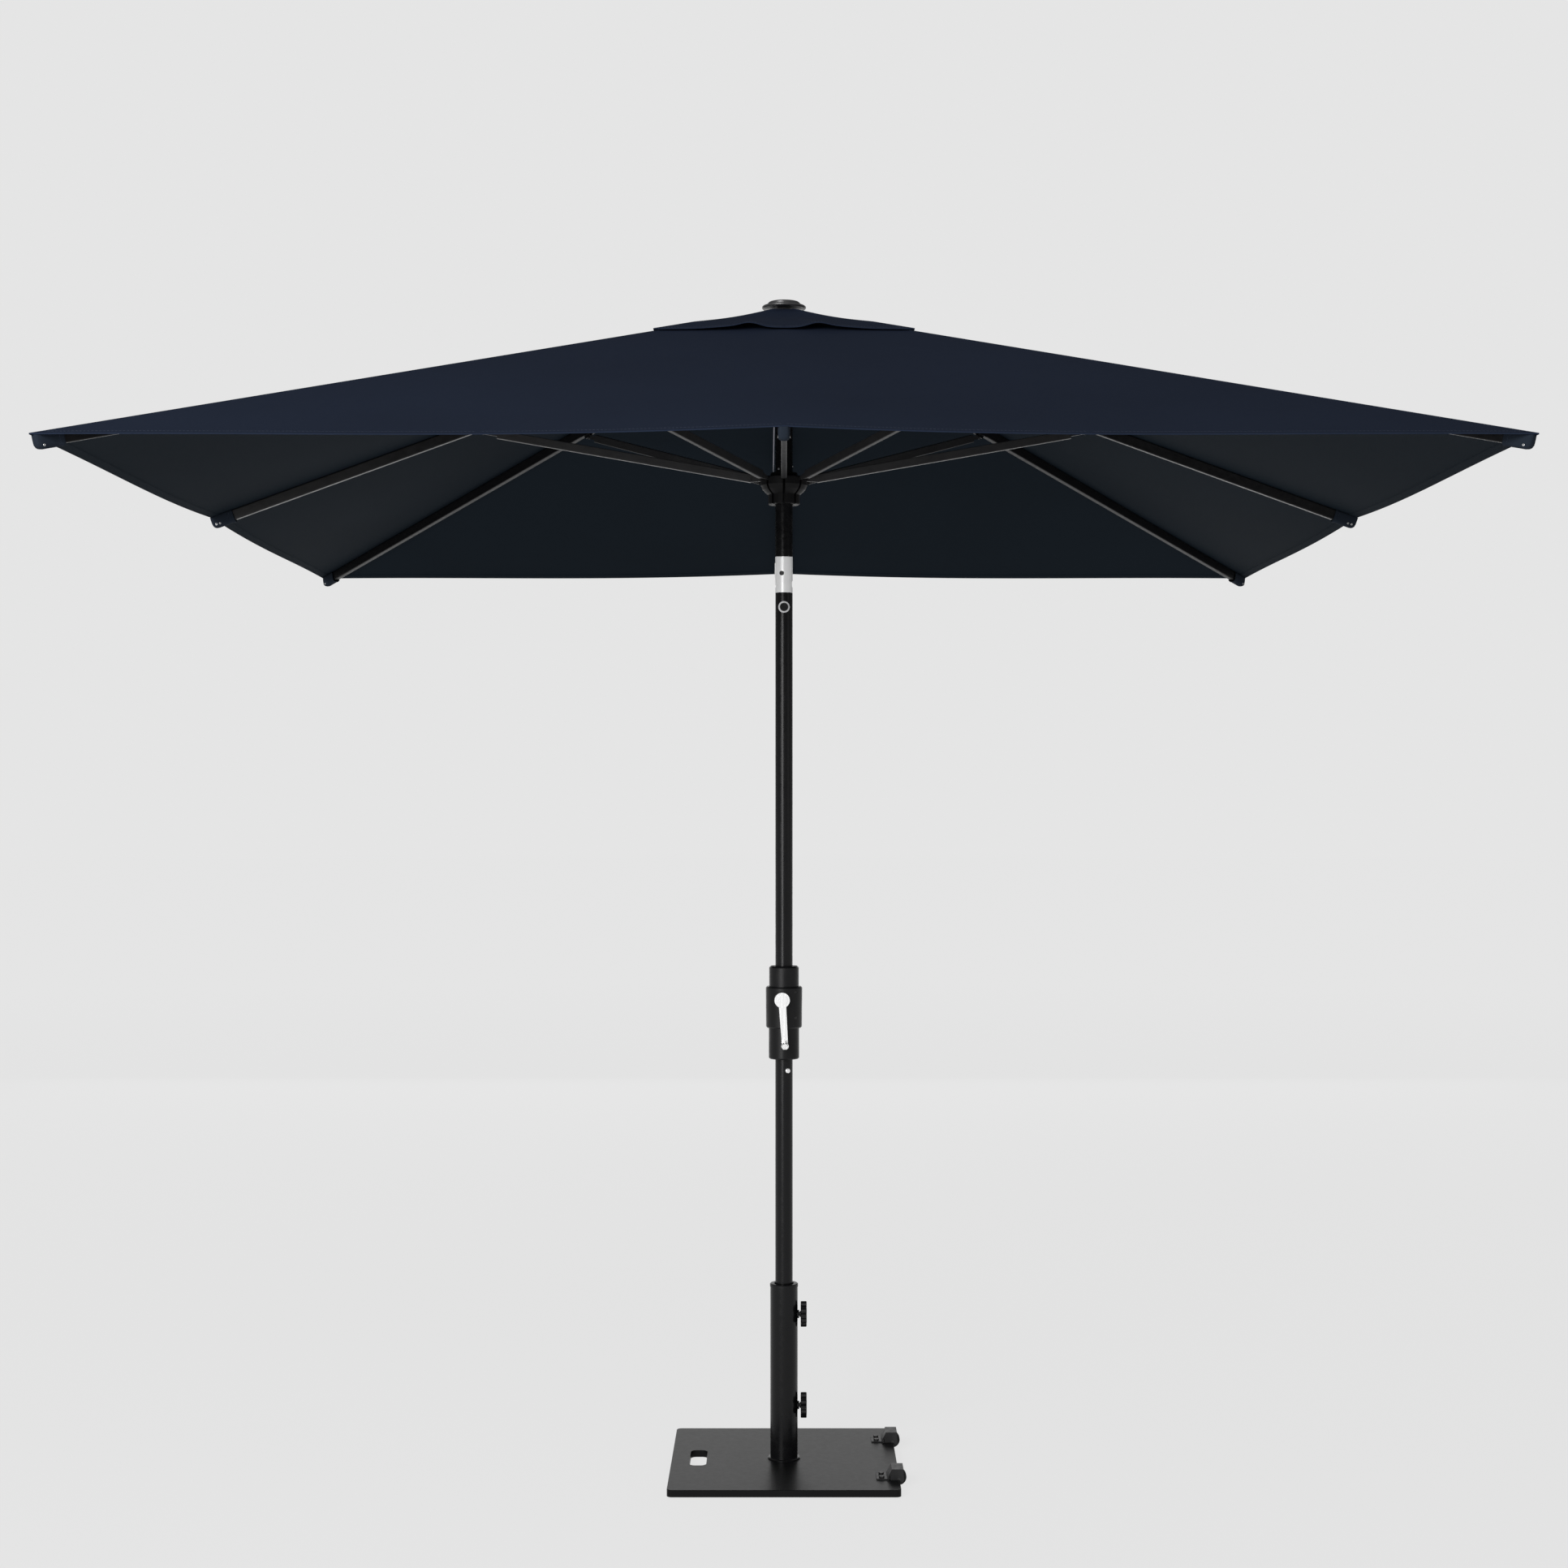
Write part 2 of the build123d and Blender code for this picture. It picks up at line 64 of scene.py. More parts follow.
JOINTS = {j["name"]: j for j in frame["joints"]}

# canopy shape, within 3 mm of the CAD panels' surface
HALF = 1.252                               # half the side of the square
VENT_OPEN = 0.185                          # half the side of the opening under the vent cap
VENT_HALF = 0.271                          # half the side of the vent cap
VENT_INNER = 0.024                         # where the cap's panels begin, under the finial
APEX_Z = 2.530
SLOPE_SIDE = 0.3626                        # fall along a side rib, per metre out
SLOPE_CORNER = 0.2637                      # fall along a corner rib
SEAM_SHARE = math.tan(math.radians(22.5))  # where half panels meet, as a share of the half side
SAG = 0.013                                # size of a panel's sag between its two ribs
RIM_BOW = 0.004                            # how far the rim bows in between two ribs
CLOTH = 0.0008                             # thickness of the cloth, and below of its hems
RIM_HEM = 0.0019
VENT_HEM = 0.0018
SEAM_RISE = 0.0006                         # how far the seam allowance stands up
PARTING = 0.003                            # how far from the rib the gathering would start when closing; worked out below but not used


# ------------------------------------------------------------------ materials
class Mat:
    """A node material with a few helpers."""

    def __init__(self, name, color, rough, metal=0.0, spec=0.5):
        self.mat = bpy.data.materials.new(name)
        self.mat.use_nodes = True
        self.tree = self.mat.node_tree
        self.bsdf = self.tree.nodes["Principled BSDF"]
        self.bsdf.inputs["Base Color"].default_value = (*color, 1)
        self.bsdf.inputs["Roughness"].default_value = rough
        self.bsdf.inputs["Metallic"].default_value = metal
        self.bsdf.inputs["Specular IOR Level"].default_value = spec
        self.coords = self.tree.nodes.new("ShaderNodeTexCoord").outputs["Object"]
        self.normal = None

    def node(self, kind, **settings):
        n = self.tree.nodes.new(kind)
        for key, value in settings.items():
            setattr(n, key, value)
        return n

    def link(self, a, b):
        self.tree.links.new(a, b)

    def noise(self, scale, detail=3.0, rough=0.5, stretch=None):
        n = self.node("ShaderNodeTexNoise")
        n.inputs["Scale"].default_value = scale
        n.inputs["Detail"].default_value = detail
        n.inputs["Roughness"].default_value = rough
        source = self.coords
        if stretch:
            m = self.node("ShaderNodeMapping")
            m.inputs["Scale"].default_value = stretch
            self.link(source, m.inputs["Vector"])
            source = m.outputs["Vector"]
        self.link(source, n.inputs["Vector"])
        return n.outputs["Fac"]

    def wave(self, direction, scale):
        n = self.node("ShaderNodeTexWave", bands_direction=direction)
        n.inputs["Scale"].default_value = scale
        self.link(self.coords, n.inputs["Vector"])
        return n.outputs["Fac"]

    def math(self, operation, a, b):
        n = self.node("ShaderNodeMath", operation=operation)
        for socket, value in zip(n.inputs, (a, b)):
            if isinstance(value, (int, float)):
                socket.default_value = value
            else:
                self.link(value, socket)
        return n.outputs[0]

    def ramp(self, fac, low, high, c0, c1):
        """Colours c0 to c1 as fac goes from low to high."""
        n = self.node("ShaderNodeValToRGB")
        n.color_ramp.elements[0].position = low
        n.color_ramp.elements[1].position = high
        n.color_ramp.elements[0].color = (*c0, 1)
        n.color_ramp.elements[1].color = (*c1, 1)
        self.link(fac, n.inputs["Fac"])
        return n.outputs["Color"]

    def span(self, fac, low, high, a, b):
        """A number from a to b as fac goes from low to high."""
        n = self.node("ShaderNodeMapRange")
        for key, value in (("From Min", low), ("From Max", high), ("To Min", a), ("To Max", b)):
            n.inputs[key].default_value = value
        self.link(fac, n.inputs["Value"])
        return n.outputs["Result"]

    def colour(self, output):
        self.link(output, self.bsdf.inputs["Base Color"])

    def roughness(self, output):
        self.link(output, self.bsdf.inputs["Roughness"])

    def bump(self, height, strength, distance):
        n = self.node("ShaderNodeBump")
        n.inputs["Strength"].default_value = strength
        n.inputs["Distance"].default_value = distance
        self.link(height, n.inputs["Height"])
        if self.normal is not None:
            self.link(self.normal, n.inputs["Normal"])
        self.normal = n.outputs["Normal"]
        self.link(self.normal, self.bsdf.inputs["Normal"])


def shade(color, k):
    return tuple(min(1.0, c * k) for c in color)


def fabric(name, color, thread=0.0011):
    """Plain-weave outdoor cloth: threads both ways, slubs and a slight cloudiness."""
    m = Mat(name, color, 0.9, spec=0.04)
    scale = 0.314 / thread  # one band of the wave texture to one thread
    warp = m.wave("X", scale)
    weft = m.wave("Y", scale)
    weave = m.math("MULTIPLY", m.math("ADD", warp, weft), 0.5)
    cloud = m.noise(2.3, 4.0)
    slub = m.noise(60, 2.0, stretch=(1.0, 6.0, 1.0))
    tone = m.math("ADD", m.math("MULTIPLY", weave, 0.25), m.math("MULTIPLY", cloud, 0.5))
    tone = m.math("ADD", tone, m.math("MULTIPLY", slub, 0.25))
    m.colour(m.ramp(tone, 0.30, 0.72, shade(color, 0.88), shade(color, 1.12)))
    m.bump(weave, 0.25, 0.00018)
    m.bump(m.noise(9, 3.0), 0.12, 0.002)
    return m.mat


def powder(name, color, rough, grain=1100, strength=0.16, spec=0.3, wander=0.06, tone=0.11):
    """Powder coat: fine orange peel, with its gloss and tone changing a little."""
    m = Mat(name, color, rough, spec=spec)
    peel = m.noise(grain, 2.0)
    cloud = m.noise(14, 4.0)
    m.colour(m.ramp(cloud, 0.3, 0.7, shade(color, 1 - tone), shade(color, 1 + tone)))
    m.roughness(m.span(m.noise(90, 3.0), 0.3, 0.7, rough - wander, rough + wander))
    m.bump(peel, strength, 0.00012)
    return m.mat


def moulded(name, color, rough, spec=0.5):
    """Moulded plastic with a fine spark-eroded texture and light handling marks."""
    m = Mat(name, color, rough, spec=spec)
    grain = m.node("ShaderNodeTexVoronoi")
    grain.inputs["Scale"].default_value = 1500
    m.link(m.coords, grain.inputs["Vector"])
    m.colour(m.ramp(m.noise(22, 3.0), 0.3, 0.7, shade(color, 0.92), shade(color, 1.1)))
    m.roughness(m.span(m.noise(40, 5.0), 0.3, 0.75, rough - 0.06, rough + 0.1))
    m.bump(grain.outputs["Distance"], 0.12, 0.0001)
    return m.mat


def drawn_metal(name, color, rough, axis="Z", mark=0.12, metal=1.0):
    """Bare metal with fine draw lines along Y or Z."""
    m = Mat(name, color, rough, metal=metal)
    stretch = {"Y": (900, 4, 900), "Z": (900, 900, 4)}[axis]
    lines = m.noise(1.0, 3.0, 0.6, stretch)
    m.colour(m.ramp(lines, 0.3, 0.7, shade(color, 0.93), shade(color, 1.03)))
    m.roughness(m.span(lines, 0.3, 0.7, rough - 0.05, rough + 0.08))
    m.bump(lines, mark, 0.00006)
    return m.mat


def rubber(name, color):
    """Dull tyre rubber, dusty in places."""
    m = Mat(name, color, 0.78, spec=0.3)
    m.colour(m.ramp(m.noise(55, 4.0), 0.3, 0.75, shade(color, 0.85), shade(color, 1.5)))
    m.bump(m.noise(700, 2.0), 0.3, 0.0002)
    return m.mat


NAVY = (0.0104, 0.0152, 0.0285)
# the underside colour is the same navy cloth made darker: painted shade for the shade under the canopy
NAVY_PAINTED_SHADE = (0.0056, 0.0092, 0.0136)
canopy_top = fabric("canopy_cloth", NAVY)
canopy_painted_shade = fabric("canopy_cloth_painted_shade", NAVY_PAINTED_SHADE)
thread_mat = fabric("canopy_thread", (0.026, 0.032, 0.047), 0.0006)
pocket_mat = fabric("pocket_cloth", (0.0115, 0.0155, 0.0225))

pole_black = powder("pole_black", (0.0036, 0.0036, 0.0040), 0.25, strength=0.08, spec=0.20)
rib_black = powder("rib_black", (0.0045, 0.0045, 0.0050), 0.36, spec=0.24)
# the struts are a lighter grey than the ribs' black so that their side faces look lit under the canopy:
# painted light
strut_painted_light = powder("strut_painted_light", (0.0160, 0.0160, 0.0168), 0.40)
plate_grey = powder("plate_grey", (0.0040, 0.0040, 0.0043), 0.36, 700, 0.04, 0.09, wander=0.015, tone=0.05)
bracket_black = powder("bracket_black", (0.0100, 0.0100, 0.0105), 0.45)
plastic_black = moulded("plastic_black", (0.0040, 0.0040, 0.0044), 0.34, spec=0.20)
plastic_hub = moulded("plastic_hub", (0.0030, 0.0030, 0.0034), 0.50, spec=0.12)
finial_black = moulded("finial_black", (0.0260, 0.0260, 0.0270), 0.38, spec=0.5)
plastic_grey = moulded("plastic_grey", (0.30, 0.30, 0.31), 0.5)
plastic_light = moulded("plastic_light", (0.62, 0.62, 0.63), 0.45)
tyre_rubber = rubber("tyre_rubber", (0.014, 0.014, 0.014))
silver = drawn_metal("satin_silver", (0.97, 0.97, 0.97), 0.34, metal=0.25)
bright = drawn_metal("bright_metal", (0.92, 0.92, 0.92), 0.22, mark=0.012, metal=0.8)
zinc = drawn_metal("zinc_steel", (0.55, 0.55, 0.55), 0.35, "Y")
dark_steel = drawn_metal("dark_steel", (0.06, 0.06, 0.06), 0.45, "Y")


def paint(node, mat):
    o = frame["nodes"][node]
    o.data.materials.clear()
    o.data.materials.append(mat)


for node, mat in {
    "base_plate": plate_grey, "plate_feet": plastic_light, "base_sleeve": pole_black,
    "sleeve_cap": plastic_black, "wheel_brackets": bracket_black, "wheel_fasteners": dark_steel,
    "tyre_front": tyre_rubber, "tyre_back": tyre_rubber, "wheel_hub_front": plastic_light,
    "wheel_hub_back": plastic_light,
    "knob_upper": plastic_black, "knob_lower": plastic_black, "pole_guides": plastic_grey,
    "lower_pole": pole_black, "pole_plug": plastic_black, "upper_pole": pole_black,
    "crank_housing": plastic_black, "housing_collars": plastic_black, "housing_screws": dark_steel,
    "tilt_fork": silver, "tilt_pin": dark_steel, "tilt_bezel": plastic_light, "tilt_button": plastic_black,
    "tilt_tongue": silver, "crank_handle": bright, "crank_knob": bright, "cord_spool": plastic_grey,
    "snap_button": bright, "mast_tube": pole_black, "top_hub": plastic_hub, "finial": finial_black,
    "mast_rivets": zinc, "cord_pulley": plastic_grey, "runner": plastic_hub,
}.items():
    paint(node, mat)
for i in range(1, 9):
    paint(f"rib_{i}", rib_black)
    paint(f"strut_{i}", strut_painted_light)


# ------------------------------------------------------------------ mesh helpers
def make_object(name, verts, faces, mats, indices=None, smooth=True):
    mesh = bpy.data.meshes.new(name)
    mesh.from_pydata([tuple(v) for v in verts], [], [tuple(f) for f in faces])
    for m in mats:
        mesh.materials.append(m)
    if indices is not None:
        mesh.polygons.foreach_set("material_index", indices)
    mesh.polygons.foreach_set("use_smooth", [smooth] * len(mesh.polygons))
    mesh.update()
    o = bpy.data.objects.new(name, mesh)
    bpy.context.scene.collection.objects.link(o)
    return o


def turn_z(points, degrees):
    a = math.radians(degrees)
    m = np.array([[math.cos(a), -math.sin(a), 0], [math.sin(a), math.cos(a), 0], [0, 0, 1]])
    return points @ m.T


# ------------------------------------------------------------------ canopy
def canopy_z(s, v):
    """Height at distance s from the axis towards a side, v of the way from its middle to the corner."""
    at_side = APEX_Z - SLOPE_SIDE * s
    at_corner = APEX_Z - SLOPE_CORNER * math.sqrt(2) * s
    return at_side + (at_corner - at_side) * v - SAG * (s / HALF) * np.sin(math.pi * v) * (1 - v)


def canopy_xyz(s, v):
    bow = RIM_BOW * (s / HALF) ** 2 * np.sin(math.pi * v)
    return np.stack([v * (s - bow), -(s - bow), canopy_z(s, v)], -1)


def octant(rows, seam, shares, lift, thick):
    """Grids of top and bottom points of the front right eighth, from the side rib to the corner rib.

    The columns listed in seam keep a fixed distance from their rib, so that the seam allowance has
    one width all along. The columns in shares divide what is left up to the line where half panels meet."""
    top, bottom = [], []
    for s in rows:
        edge = SEAM_SHARE * s
        from_rib = list(seam) + [seam[-1] + (edge - seam[-1]) * t for t in shares[1:]]
        side = [w / s for w in from_rib]
        corner = [(s - w * math.sqrt(2)) / s for w in from_rib]
        v = np.array(side[:-1] + [SEAM_SHARE] + corner[:-1][::-1])
        from_corner = np.array([edge] * len(side) + from_rib[:-1][::-1])
        p = canopy_xyz(np.full(len(v), s), v)
        p[:, 2] += lift(s, v)
        t = p.copy()
        t[:, 2] += np.where(from_corner < 0.0055, SEAM_RISE, 0.0)
        b = p.copy()
        b[:, 2] -= thick(s)
        top.append(t)
        bottom.append(b)
    return np.array(top), np.array(bottom)


def grid_normals(grid):
    """Vertex normals of a grid of points, rows by columns, facing up."""
    du = np.gradient(grid, axis=0)
    dv = np.gradient(grid, axis=1)
    n = np.cross(du, dv)
    n /= np.maximum(np.linalg.norm(n, axis=-1, keepdims=True), 1e-12)
    n[n[..., 2] < 0] *= -1
    return n


def round_over(grid, normals, reach=0.16):
    """The cloth runs over the side rib in one curve, so its normals meet there."""
    near = np.clip(grid[..., 0] / reach, 0, 1)
    normals[..., 0] *= near * near * (3 - 2 * near)
    return normals / np.linalg.norm(normals, axis=-1, keepdims=True)


def box_dash(centre, along, side, up, size):
    """A stitch: eight points and six faces, narrower at its top."""
    length, width, height = size
    pts = []
    for dz, k in ((-0.3, 1.0), (1.0, 0.72)):
        for dx, dy in ((-1, -1), (1, -1), (1, 1), (-1, 1)):
            pts.append(centre + along * dx * length / 2 * k + side * dy * width / 2 * k + up * dz * height)
    faces = [(4, 5, 6, 7), (3, 2, 1, 0), (0, 1, 5, 4), (1, 2, 6, 5), (2, 3, 7, 6), (3, 0, 4, 7)]
    return pts, faces


def stitch_run(points, normals, pitch=0.0066, size=(0.0042, 0.0009, 0.0005)):
    """Stitches along a line of points."""
    points, normals = np.asarray(points), np.asarray(normals)
    steps = np.linalg.norm(np.diff(points, axis=0), axis=1)
    along = np.concatenate([[0], np.cumsum(steps)])
    verts, faces = [], []
    for d in np.arange(pitch, along[-1] - pitch / 2, pitch):
        k = min(int(np.searchsorted(along, d)) - 1, len(points) - 2)
        f = (d - along[k]) / max(steps[k], 1e-9)
        c = points[k] * (1 - f) + points[k + 1] * f
        direction = (points[k + 1] - points[k]) / max(steps[k], 1e-9)
        up = normals[k]
        side = np.cross(up, direction)
        p, fs = box_dash(c, direction, side, up, size)
        faces += [tuple(i + len(verts) for i in face) for face in fs]
        verts += p
    return verts, faces


def sheet_piece(name, top, bottom, n_top, n_bottom, stitches, flip, turn):
    """A thin closed sheet between two grids of points, with stitches standing on its top."""
    rows, cols = top.shape[:2]
    verts = np.concatenate([top.reshape(-1, 3), bottom.reshape(-1, 3)])
    normals = np.concatenate([n_top.reshape(-1, 3), -n_bottom.reshape(-1, 3)])
    half = rows * cols
    faces, index, walls = [], [], set()

    def at(r, c, layer=0):
        return layer * half + r * cols + c

    for r in range(rows - 1):
        for c in range(cols - 1):
            faces.append((at(r, c), at(r + 1, c), at(r + 1, c + 1), at(r, c + 1)))
            index.append(0)
            faces.append((at(r, c, 1), at(r, c + 1, 1), at(r + 1, c + 1, 1), at(r + 1, c, 1)))
            index.append(1)
    loop = [(0, c) for c in range(cols)] + [(r, cols - 1) for r in range(1, rows)]
    loop += [(rows - 1, c) for c in range(cols - 2, -1, -1)] + [(r, 0) for r in range(rows - 2, 0, -1)]
    for a, b in zip(loop, loop[1:] + loop[:1]):
        faces.append((at(*a), at(*b), at(*b, 1), at(*a, 1)))
        index.append(0)
        walls.add(len(faces) - 1)
    verts = list(verts)
    extra = []
    for points, ns in stitches:
        vs, fs = stitch_run(points, ns)
        base = len(verts)
        verts += vs
        extra += [tuple(i + base for i in f) for f in fs]
    first_stitch = len(faces)
    faces += extra
    index += [2] * len(extra)
    verts = np.array(verts)
    if flip:
        verts[:, 0] *= -1
        normals = normals.copy()
        normals[:, 0] *= -1
        faces = [f[::-1] for f in faces]
    verts = turn_z(verts, turn)
    normals = turn_z(normals, turn)
    # the bottom faces take the darker copy of the cloth: painted shade under the canopy
    o = make_object(name, verts, faces, [canopy_top, canopy_painted_shade, thread_mat], index)
    mesh = o.data
    custom = []
    for p in mesh.polygons:
        for k in p.loop_indices:
            v = mesh.loops[k].vertex_index
            if p.index >= first_stitch or p.index in walls:
                custom.append(tuple(p.normal))
            else:
                custom.append(tuple(normals[v]))
    mesh.normals_split_custom_set(custom)
    return o


def sheet_area(grid):
    """Area of a grid of points, from two triangles to a cell."""
    a = np.cross(grid[1:, :-1] - grid[:-1, :-1], grid[:-1, 1:] - grid[:-1, :-1])
    b = np.cross(grid[1:, :-1] - grid[1:, 1:], grid[:-1, 1:] - grid[1:, 1:])
    return float((np.linalg.norm(a, axis=-1) + np.linalg.norm(b, axis=-1)).sum() / 2)


def tier(prefix, rows, seam, shares, lift, thick, hem_in, nodes):
    """One tier of the canopy: sixteen half panels, each held by a rib and riding on it.

    nodes are the replaced node and the slot; the slot is not used."""
    top, bottom = octant(rows, seam, shares, lift, thick)
    n_top, n_bottom = (round_over(grid, grid_normals(grid)) for grid in (top, bottom))
    hem_row = min(range(len(rows)), key=lambda k: abs(rows[k] - (rows[-1] - hem_in)))
    middle = len(seam) + len(shares) - 2
    parts = {"side": slice(0, middle + 1), "corner": slice(middle, top.shape[1])}
    for k in range(4):
        for kind, part in parts.items():
            for flip in (False, True):
                t, b = top[:, part], bottom[:, part]
                nt, nb = n_top[:, part], n_bottom[:, part]
                stitches = [(t[hem_row], nt[hem_row])]
                if kind == "corner":
                    stitches.append((t[:, -2], nt[:, -2]))
                rib = 6 if kind == "side" else (5 if flip else 7)
                rib = (rib + 2 * k) % 8
                name = f"{prefix}_{rib + 1}_{'a' if flip else 'b'}"
                o = sheet_piece(name, t, b, nt, nb, stitches, flip, 90 * k)
                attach(o, f"rib_{rib + 1}")
                # where the half panel would gather in its own plane towards the rib, and its width; worked
                # out but not used
                line_col = 0 if kind == "side" else -1
                a, c = t[0, line_col], t[-1, line_col]
                rim = t[-1, -1] if kind == "side" else t[-1, 0]
                rib_dir = (c - a) / np.linalg.norm(c - a)
                out = rim - c
                out -= rib_dir * (out @ rib_dir)
                out /= np.linalg.norm(out)
                pts = np.array([out, a + out * PARTING])
                if flip:
                    pts[:, 0] *= -1
                pts = turn_z(pts, 90 * k)
                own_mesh(o)
                area = sheet_area((t + b) / 2)
                long = float(np.linalg.norm(c - a))
                wide = float(np.linalg.norm(rim - c)) if kind == "side" else float(abs((rim - c) @ out))
                wide = max(wide, area / long)
                if nodes[0]:
                    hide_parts(nodes[0].format(rib + 1))


# main tier: close rows at both hems, even ones between
HEM_STEP = 0.0127
rows = [VENT_OPEN, VENT_OPEN + 0.006, VENT_OPEN + 0.012, VENT_OPEN + HEM_STEP]
rows += [VENT_OPEN + HEM_STEP + (HALF - 0.0185 - VENT_OPEN - HEM_STEP) * k / 26 for k in range(1, 27)]
rows += [HALF - 0.0178, HALF - 0.0150, HALF - 0.008, HALF - 0.001, HALF]
seam = (0.0, 0.0040, 0.0052, 0.0058)
shares = [k / 14 for k in range(15)]


def main_lift(s, v):
    return 0.0 * v


def main_thick(s):
    return RIM_HEM if (s > HALF - 0.0182 or s < VENT_OPEN + 0.0124) else CLOTH


tier("canopy", rows, seam, shares, main_lift, main_thick, 0.0150, ("gore_{}", "canopy_fabric"))


def vent_lift(s, v):
    """The cap dips over its opening, and its rim stands up in two waves."""
    broad = 0.006 * np.exp(-((v - 0.36) / 0.24) ** 2)
    narrow = 0.008 * np.exp(-((v - 0.26) / 0.1) ** 2)
    dip = 0.0038 * math.sin(math.pi * min(1.0, max(0.0, (s - VENT_INNER) / (VENT_OPEN - 0.020))))
    return 0.0055 - dip + (s / VENT_HALF) ** 3 * (broad + narrow)


def vent_thick(s):
    return VENT_HEM if s > VENT_HALF - 0.0125 else CLOTH


vent_rows = [VENT_INNER + (VENT_HALF - 0.013 - VENT_INNER) * k / 14 for k in range(15)]
vent_rows += [VENT_HALF - 0.0122, VENT_HALF - 0.0095, VENT_HALF - 0.004, VENT_HALF]
vent_seam = (0.0, 0.0030, 0.0038, 0.0043)
vent_shares = [k / 16 for k in range(17)]
tier("vent", vent_rows, vent_seam, vent_shares, vent_lift, vent_thick, 0.0095,
     (None, "vent_fabric"))
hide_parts("vent_cap")

# ------------------------------------------------------------------ rib-end pockets
# In a pocket's own frame X runs out along the rib from its pin, and Z is square to the rib.
POCKET_LONG = 0.0505
POCKET_TOP = 0.0112
POCKET_LOW = -0.0142
POCKET_HALF = 0.0087  # half its width
TIP_HALF = 0.0014     # half the width that its rounded end shrinks towards
ROUND = 0.010         # length of the rounded end
POCKET_SIDES = 17     # points in a cross section


def pocket_ring(x, d):
    """One cross section at distance d from the inner end: side wall, rounded bottom, side wall."""
    left = POCKET_LONG - d
    k = 1.0 if left > ROUND else math.sqrt(max(0.0, 1 - ((ROUND - left) / ROUND) ** 2))
    half_w = TIP_HALF + (POCKET_HALF - TIP_HALF) * (0.35 + 0.65 * k if k < 1 else 1)
    if k < 0.05:
        half_w = 0.0040
    depth = POCKET_LOW + (1 - k) * 0.0085
    lip = 0.0005 if d < 0.0065 else 0.0
    points = []
    for n in range(POCKET_SIDES):
        t = n / (POCKET_SIDES - 1)
        if t < 0.36:
            u = t / 0.36
            y, z = -half_w, POCKET_TOP + (depth + 0.004 - POCKET_TOP) * u
        elif t > 0.64:
            u = (t - 0.64) / 0.36
            y, z = half_w, depth + 0.004 + (POCKET_TOP - depth - 0.004) * u
        else:
            a = math.pi * (t - 0.36) / 0.28
            y, z = -half_w * math.cos(a), depth + 0.004 - 0.004 * math.sin(a) ** 0.8
        bulge = 0.0006 * math.sin(math.pi * min(1, max(0, (z - depth) / (POCKET_TOP - depth))))
        y += math.copysign(bulge + lip, y) if abs(y) > 1e-6 else 0
        points.append((x, y, z - lip * (1 if 0.36 <= t <= 0.64 else 0)))
    return points


def pocket_shell(start):
    """Rings along the rib, closed at the outer end."""
    stations = [0, 0.0012, 0.006, 0.0068, 0.016, 0.026, 0.034, 0.040, 0.0445, 0.0475, 0.0495, 0.0505]
    verts, faces = [], []
    for d in stations:
        verts += pocket_ring(start + d, d)
    for r in range(len(stations) - 1):
        for n in range(POCKET_SIDES - 1):
            a = r * POCKET_SIDES + n
            faces.append((a, a + 1, a + POCKET_SIDES + 1, a + POCKET_SIDES))
    last = (len(stations) - 1) * POCKET_SIDES
    for n in range((POCKET_SIDES - 1) // 2):
        a, b = last + n, last + POCKET_SIDES - 1 - n
        if a + 1 == b - 1:
            faces.append((a, a + 1, b))
        else:
            faces.append((a, a + 1, b - 1, b))
    return verts, faces


def pocket_threads(start):
    """The stitch line behind the folded lip, on both sides."""
    verts, faces = [], []
    for side in (-1, 1):
        line = [(start + 0.0085, side * 0.0101, POCKET_TOP - 0.0015 - 0.022 * k / 8) for k in range(9)]
        vs, fs = stitch_run(line, [(0, side, 0)] * 9, 0.0042, (0.0028, 0.0008, 0.0005))
        base = len(verts)
        verts += vs
        faces += [tuple(j + base for j in f) for f in fs]
    return verts, faces


def pocket_rings(start, spots):
    """Small eyelets at these places on both sides."""
    verts, faces = [], []
    for side in (-1, 1):
        for dx, z in spots:
            base = len(verts)
            for a in range(16):
                ca, sa = math.cos(a * math.pi / 8), math.sin(a * math.pi / 8)
                for r, h in ((0.0011, 0.0), (0.0013, 0.0006), (0.0020, 0.0006), (0.0023, 0.0)):
                    verts.append((start + dx + r * ca, side * (0.0100 + h), z + r * sa))
            for a in range(16):
                b = (a + 1) % 16
                for q in range(3):
                    f = (base + a * 4 + q, base + a * 4 + q + 1, base + b * 4 + q + 1, base + b * 4 + q)
                    faces.append(f if side < 0 else f[::-1])
    return verts, faces


def build_pocket(i):
    corner = i % 2 == 1
    fall = math.atan(SLOPE_CORNER if corner else SLOPE_SIDE)
    reach = HALF * (math.sqrt(2) if corner else 1)
    pivot = JOINTS[f"rib_{i + 1}_hinge"]["pos_m"]
    pin_r, pin_z = math.hypot(pivot[0], pivot[1]), pivot[2]
    end = (reach - pin_r) / math.cos(fall) - (0.0105 if corner else 0.002)
    start = end - POCKET_LONG
    o = make_object(f"pocket_{i + 1}", *pocket_shell(start), [pocket_mat])
    thick = o.modifiers.new("cloth", "SOLIDIFY")
    thick.thickness = 0.0009
    thick.offset = 1
    threads = make_object(f"pocket_stitches_{i + 1}", *pocket_threads(start), [thread_mat], smooth=False)
    spots = [(0.0395, -0.0085)] if corner else [(0.0335, -0.0080), (0.0415, -0.0075)]
    eyelets = make_object(f"pocket_eyelets_{i + 1}", *pocket_rings(start, spots), [zinc])
    place = Matrix.Rotation(math.radians(45 * i), 4, "Z") @ Matrix.Translation((pin_r, 0, pin_z))
    place = place @ Matrix.Rotation(fall, 4, "Y")
    for piece in (o, threads, eyelets):
        piece.data.transform(place)
        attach(piece, f"rib_{i + 1}")


for i in range(8):
    build_pocket(i)

